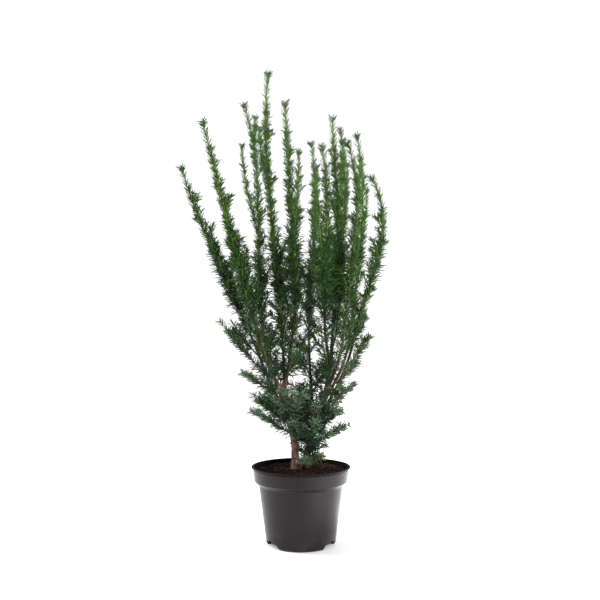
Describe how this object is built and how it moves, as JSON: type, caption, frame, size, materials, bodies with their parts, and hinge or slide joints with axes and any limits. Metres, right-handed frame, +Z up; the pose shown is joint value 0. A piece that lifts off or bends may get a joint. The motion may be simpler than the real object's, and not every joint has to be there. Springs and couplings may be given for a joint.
{
  "type": "potted upright yew shrub",
  "caption": "Upright evergreen yew shrub with two stems, rising needle-leaved shoots and side sprays, standing in a round nursery pot of compost.",
  "frame": {"origin": "middle of the pot's flat underside, on the surface that it stands on", "axes": "+Z up along the pot's axis to the tallest shoot's tip, -Y to the front, +X to the right seen from the front"},
  "size_m": [0.4252, 0.2536, 0.947],
  "materials": {
    "pot": "satin",
    "compost": "matte",
    "bark": "matte",
    "needles": "satin"
  },
  "bodies": {
    "root": {"bough_back": "bark", "bough_back_right": "bark", "bough_far_left": "bark", "bough_far_right": "bark", "bough_front": "bark", "bough_left_back": "bark", "bough_left_front": "bark", "bough_right_back": "bark", "bough_right_front": "bark", "bough_tall": "bark", "compost": "compost", "foliage_back": "needles", "foliage_back_right": "needles", "foliage_far_left": "needles", "foliage_far_right": "needles", "foliage_front": "needles", "foliage_left_back": "needles", "foliage_left_front": "needles", "foliage_left_stem": "needles", "foliage_right_back": "needles", "foliage_right_front": "needles", "foliage_right_stem": "needles", "foliage_tall": "needles", "left_stem": "bark", "pot": "pot", "right_stem": "bark", "spray_back_left": "needles", "spray_back_low": "needles", "spray_back_mid": "needles", "spray_back_right_low": "needles", "spray_foot_tuft": "needles", "spray_front_far_right": "needles", "spray_front_high": "needles", "spray_front_left": "needles", "spray_front_mid": "needles", "spray_front_right": "needles", "spray_left_low_front": "needles", "spray_long_left": "needles", "spray_long_right": "needles", "spray_low_front": "needles", "spray_low_left": "needles", "spray_low_left_back": "needles", "spray_low_right": "needles", "spray_low_right_back": "needles", "spray_mid_left": "needles", "spray_mid_right": "needles", "spray_right_side": "needles", "spray_upper_left": "needles", "spray_upper_right": "needles"}
  },
  "joints": []
}
